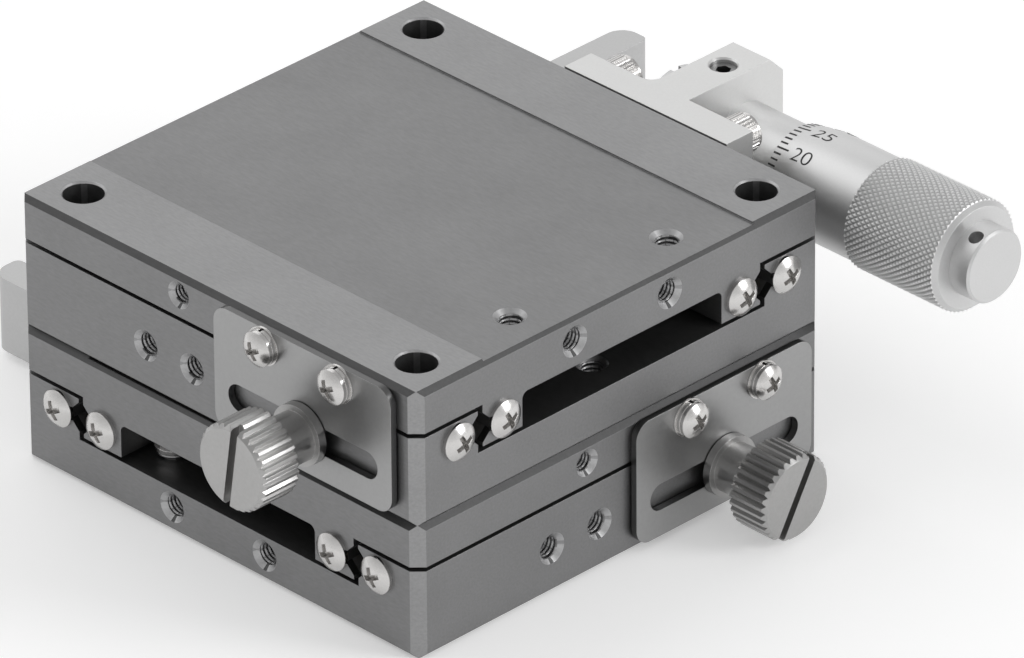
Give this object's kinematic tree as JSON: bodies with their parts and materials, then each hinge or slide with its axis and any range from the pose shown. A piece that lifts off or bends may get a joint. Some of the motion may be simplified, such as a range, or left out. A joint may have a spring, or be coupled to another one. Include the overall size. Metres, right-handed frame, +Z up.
{
  "type": "xy translation stage",
  "caption": "Crossed linear ball stage: square plates that slide on each other along X and Y, each driven by a micrometer head and locked by a knurled thumb screw.",
  "frame": {"origin": "centre of the lower base's bottom face", "axes": "+Z up, +X along the upper stage's travel, towards its micrometer's knob"},
  "size_m": [0.092, 0.09, 0.032],
  "materials": {
    "plate_steel": "dark ground steel",
    "satin_steel": "satin ground sheet",
    "screw_steel": "bright nickel plate",
    "dark_screw": "dark satin",
    "knob_nickel": "satin nickel plate",
    "micrometer_chrome": "satin chrome",
    "bracket_nickel": "fine satin nickel",
    "ball_steel": "polished",
    "cage_brass": "thin strip",
    "spring_steel": "drawn wire"
  },
  "bodies": {
    "root": {"y_base": "plate_steel", "y_base_end_screws": "screw_steel", "y_anvil": "bracket_nickel", "y_anvil_screws": "dark_screw", "y_spring_base_post": "screw_steel", "y_return_spring": "spring_steel"},
    "y_carriage": {"y_table": "plate_steel", "y_table_end_screws": "screw_steel", "y_lock_plate": "satin_steel", "y_lock_plate_screws": "screw_steel", "y_lock_flat_washers": "screw_steel", "y_lock_spring_washers": "screw_steel", "y_micrometer_bracket": "bracket_nickel", "y_bracket_screws": "screw_steel", "y_set_screw": "dark_screw", "y_sleeve": "micrometer_chrome", "y_sleeve_nut": "micrometer_chrome", "y_spring_table_post": "screw_steel", "x_base": "plate_steel", "x_base_end_screws": "screw_steel", "x_anvil": "bracket_nickel", "x_anvil_screws": "dark_screw", "x_spring_base_post": "screw_steel", "x_joining_screws": "screw_steel", "x_return_spring": "spring_steel"},
    "x_carriage": {"x_table": "plate_steel", "x_table_end_screws": "screw_steel", "x_lock_plate": "satin_steel", "x_lock_plate_screws": "screw_steel", "x_lock_flat_washers": "screw_steel", "x_lock_spring_washers": "screw_steel", "x_micrometer_bracket": "bracket_nickel", "x_bracket_screws": "screw_steel", "x_set_screw": "dark_screw", "x_sleeve": "micrometer_chrome", "x_sleeve_nut": "micrometer_chrome", "x_spring_table_post": "screw_steel"},
    "y_cage": {"y_ball_cages": "cage_brass", "y_balls": "ball_steel"},
    "x_cage": {"x_ball_cages": "cage_brass", "x_balls": "ball_steel"},
    "y_thimble": {"y_thimble": "micrometer_chrome", "y_spindle": "micrometer_chrome", "y_thimble_cap": "micrometer_chrome"},
    "x_thimble": {"x_thimble": "micrometer_chrome", "x_spindle": "micrometer_chrome", "x_thimble_cap": "micrometer_chrome"},
    "y_clamp": {"y_thumb_screw": "knob_nickel"},
    "x_clamp": {"x_thumb_screw": "knob_nickel"}
  },
  "joints": [
    {"name": "y_thimble_spin", "type": "hinge", "parent": "root", "child": "y_thimble", "pos_m": [-0.0421, 0.0145, 0.0071], "axis": [0, -1, 0], "range_deg": [-4690, 4690]},
    {"name": "y_travel", "type": "slide", "parent": "root", "child": "y_carriage", "axis": [0, 1, 0], "range_m": [-0.0065, 0.0065], "deforming": ["y_return_spring"]},
    {"name": "y_cage_travel", "type": "slide", "parent": "root", "child": "y_cage", "axis": [0, 1, 0], "range_m": [-0.00325, 0.00325]},
    {"name": "y_clamp_turn", "type": "hinge", "parent": "root", "child": "y_clamp", "pos_m": [0.031, 0.0143, 0.00565], "axis": [1, 0, 0], "range_deg": [0, 360]},
    {"name": "x_thimble_spin", "type": "hinge", "parent": "y_carriage", "child": "x_thimble", "pos_m": [0.0145, 0.0421, 0.0231], "axis": [-1, 0, 0], "range_deg": [-4690, 4690]},
    {"name": "x_travel", "type": "slide", "parent": "y_carriage", "child": "x_carriage", "axis": [1, 0, 0], "range_m": [-0.0065, 0.0065], "deforming": ["x_return_spring"]},
    {"name": "x_cage_travel", "type": "slide", "parent": "y_carriage", "child": "x_cage", "axis": [1, 0, 0], "range_m": [-0.00325, 0.00325]},
    {"name": "x_clamp_turn", "type": "hinge", "parent": "y_carriage", "child": "x_clamp", "pos_m": [0.0143, -0.031, 0.02165], "axis": [0, -1, 0], "range_deg": [0, 360]}
  ],
  "couplings": [
    {"joint": "y_thimble_spin", "follows": "y_travel", "rad_per_m": 12566},
    {"joint": "y_cage_travel", "follows": "y_travel", "ratio": 0.5},
    {"joint": "x_thimble_spin", "follows": "x_travel", "rad_per_m": 12566},
    {"joint": "x_cage_travel", "follows": "x_travel", "ratio": 0.5}
  ]
}
